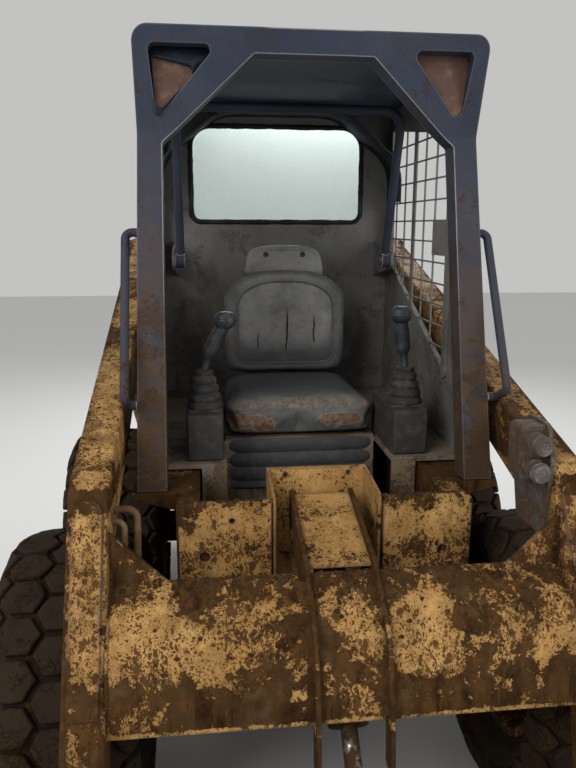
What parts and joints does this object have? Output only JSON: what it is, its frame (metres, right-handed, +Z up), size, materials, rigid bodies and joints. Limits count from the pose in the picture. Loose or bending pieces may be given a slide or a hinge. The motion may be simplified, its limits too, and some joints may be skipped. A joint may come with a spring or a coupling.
{
  "type": "skid steer loader",
  "caption": "Compact wheeled skid steer loader with an open-front roll-over cab, twin lift arms that run beside it, a curved crossmember and a bare quick-attach plate",
  "frame": {"origin": "On the ground, under the middle of the machine's length and width", "axes": "X across the machine, Y along it with the loader's front toward -Y, Z up"},
  "size_m": [1.529, 2.44, 1.9799],
  "materials": {
    "paint_tan": "matt cream-tan paint, dusty and rust-specked",
    "paint_dark": "dark grey paint under dust",
    "cast_dark": "oily dark iron",
    "lamp_lens": "dull brown lens",
    "window_glass": "dirty clear glass",
    "seat_vinyl": "cracked dark vinyl",
    "black_plastic": "worn black plastic and rubber",
    "bare_steel": "dull steel with surface rust",
    "rod_chrome": "polished cylinder rod",
    "tyre_rubber": "black rubber with dried mud"
  },
  "bodies": {
    "chassis": {"chassis_tub": "paint_tan", "front_panels": "paint_tan", "recess_hood": "paint_tan", "axle_housings": "paint_tan", "engine_block": "cast_dark", "rear_uprights": "paint_tan", "tail_lamps": "lamp_lens", "rear_frame": "paint_dark"},
    "cab": {"cab_front_frame": "paint_dark", "corner_lamps": "lamp_lens", "cab_side_right": "paint_dark", "cab_side_left": "paint_dark", "side_screens": "paint_dark", "cab_roof": "paint_dark", "cab_rear_wall": "paint_dark", "rear_window": "window_glass", "grab_handles": "paint_dark", "seat_pan": "paint_dark", "seat_cushion": "seat_vinyl", "seat_back": "seat_vinyl", "control_levers": "black_plastic"},
    "restraint": {"seat_bar": "paint_dark"},
    "lift_arms": {"lift_arm_left": "paint_tan", "lift_arm_right": "paint_tan", "crossmember": "paint_tan", "tilt_cover": "paint_tan", "hydraulic_tubes": "bare_steel", "coupler_bracket": "bare_steel"},
    "carrier": {"quick_attach": "paint_tan"},
    "lift_barrel_l": {"lift_barrel_left": "paint_tan"},
    "lift_rod_l": {"lift_rod_left": "rod_chrome"},
    "lift_barrel_r": {"lift_barrel_right": "paint_tan"},
    "lift_rod_r": {"lift_rod_right": "rod_chrome"},
    "tilt_barrel_body": {"tilt_barrel": "paint_tan"},
    "tilt_rod_body": {"tilt_rod": "rod_chrome"},
    "door": {"rear_door": "paint_tan"},
    "cover": {"engine_cover": "paint_tan"},
    "wheel_front_left": {"tyre_front_left": "tyre_rubber", "rim_front_left": "paint_tan"},
    "wheel_front_right": {"tyre_front_right": "tyre_rubber", "rim_front_right": "paint_tan"},
    "wheel_rear_left": {"tyre_rear_left": "tyre_rubber", "rim_rear_left": "paint_tan"},
    "wheel_rear_right": {"tyre_rear_right": "tyre_rubber", "rim_rear_right": "paint_tan"}
  },
  "joints": [
    {"name": "arms_lift", "type": "hinge", "parent": "chassis", "child": "lift_arms", "pos_m": [0, 0.84, 1.395], "axis": [-1, 0, 0], "range_deg": [0, 70]},
    {"name": "carrier_tilt", "type": "hinge", "parent": "lift_arms", "child": "carrier", "pos_m": [0, -1.11, 0.235], "axis": [1, 0, 0], "range_deg": [-25, 105]},
    {"name": "lift_barrel_l_swing", "type": "hinge", "parent": "chassis", "child": "lift_barrel_l", "pos_m": [-0.529, 0.855, 0.6], "axis": [-1, 0, 0], "range_deg": [0, 34]},
    {"name": "lift_barrel_r_swing", "type": "hinge", "parent": "chassis", "child": "lift_barrel_r", "pos_m": [0.529, 0.855, 0.6], "axis": [-1, 0, 0], "range_deg": [0, 34]},
    {"name": "lift_rod_l_slide", "type": "slide", "parent": "lift_barrel_l", "child": "lift_rod_l", "axis": [0, -0.8375, 0.5464], "range_m": [0, 0.604]},
    {"name": "lift_rod_r_slide", "type": "slide", "parent": "lift_barrel_r", "child": "lift_rod_r", "axis": [0, -0.8375, 0.5464], "range_m": [0, 0.604]},
    {"name": "tilt_barrel_swing", "type": "hinge", "parent": "lift_arms", "child": "tilt_barrel_body", "pos_m": [0, -0.655, 0.78], "axis": [-1, 0, 0], "range_deg": [-1, 1]},
    {"name": "tilt_rod_slide", "type": "slide", "parent": "tilt_barrel_body", "child": "tilt_rod_body", "axis": [0, -0.7415, -0.6709], "range_m": [-0.065, 0.27]},
    {"name": "cab_tip", "type": "hinge", "parent": "chassis", "child": "cab", "pos_m": [0, 0.54, 0.885], "axis": [-1, 0, 0], "range_deg": [0, 45]},
    {"name": "restraint_lower", "type": "hinge", "parent": "cab", "child": "restraint", "pos_m": [0, 0.24, 1.4], "axis": [1, 0, 0], "range_deg": [0, 80]},
    {"name": "door_open", "type": "hinge", "parent": "chassis", "child": "door", "pos_m": [-0.442, 1.206, 0.65], "axis": [0, 0, 1], "range_deg": [0, 110]},
    {"name": "cover_open", "type": "hinge", "parent": "chassis", "child": "cover", "pos_m": [0, 0.612, 0.925], "axis": [-1, 0, 0], "range_deg": [-60, 0]},
    {"name": "wheel_front_left_spin", "type": "hinge", "parent": "chassis", "child": "wheel_front_left", "pos_m": [-0.607, -0.585, 0.382], "axis": [1, 0, 0], "continuous": true},
    {"name": "wheel_front_right_spin", "type": "hinge", "parent": "chassis", "child": "wheel_front_right", "pos_m": [0.607, -0.585, 0.382], "axis": [1, 0, 0], "continuous": true},
    {"name": "wheel_rear_left_spin", "type": "hinge", "parent": "chassis", "child": "wheel_rear_left", "pos_m": [-0.607, 0.365, 0.382], "axis": [1, 0, 0], "continuous": true},
    {"name": "wheel_rear_right_spin", "type": "hinge", "parent": "chassis", "child": "wheel_rear_right", "pos_m": [0.607, 0.365, 0.382], "axis": [1, 0, 0], "continuous": true}
  ],
  "couplings": [
    {"joint": "lift_barrel_l_swing", "follows": "arms_lift", "ratio": 0.4831},
    {"joint": "lift_barrel_r_swing", "follows": "arms_lift", "ratio": 0.4831},
    {"joint": "lift_rod_l_slide", "follows": "arms_lift", "m_per_rad": 0.4931},
    {"joint": "lift_rod_r_slide", "follows": "arms_lift", "m_per_rad": 0.4931},
    {"joint": "tilt_barrel_swing", "follows": "carrier_tilt", "ratio": 0.005},
    {"joint": "tilt_rod_slide", "follows": "carrier_tilt", "m_per_rad": 0.1462}
  ]
}
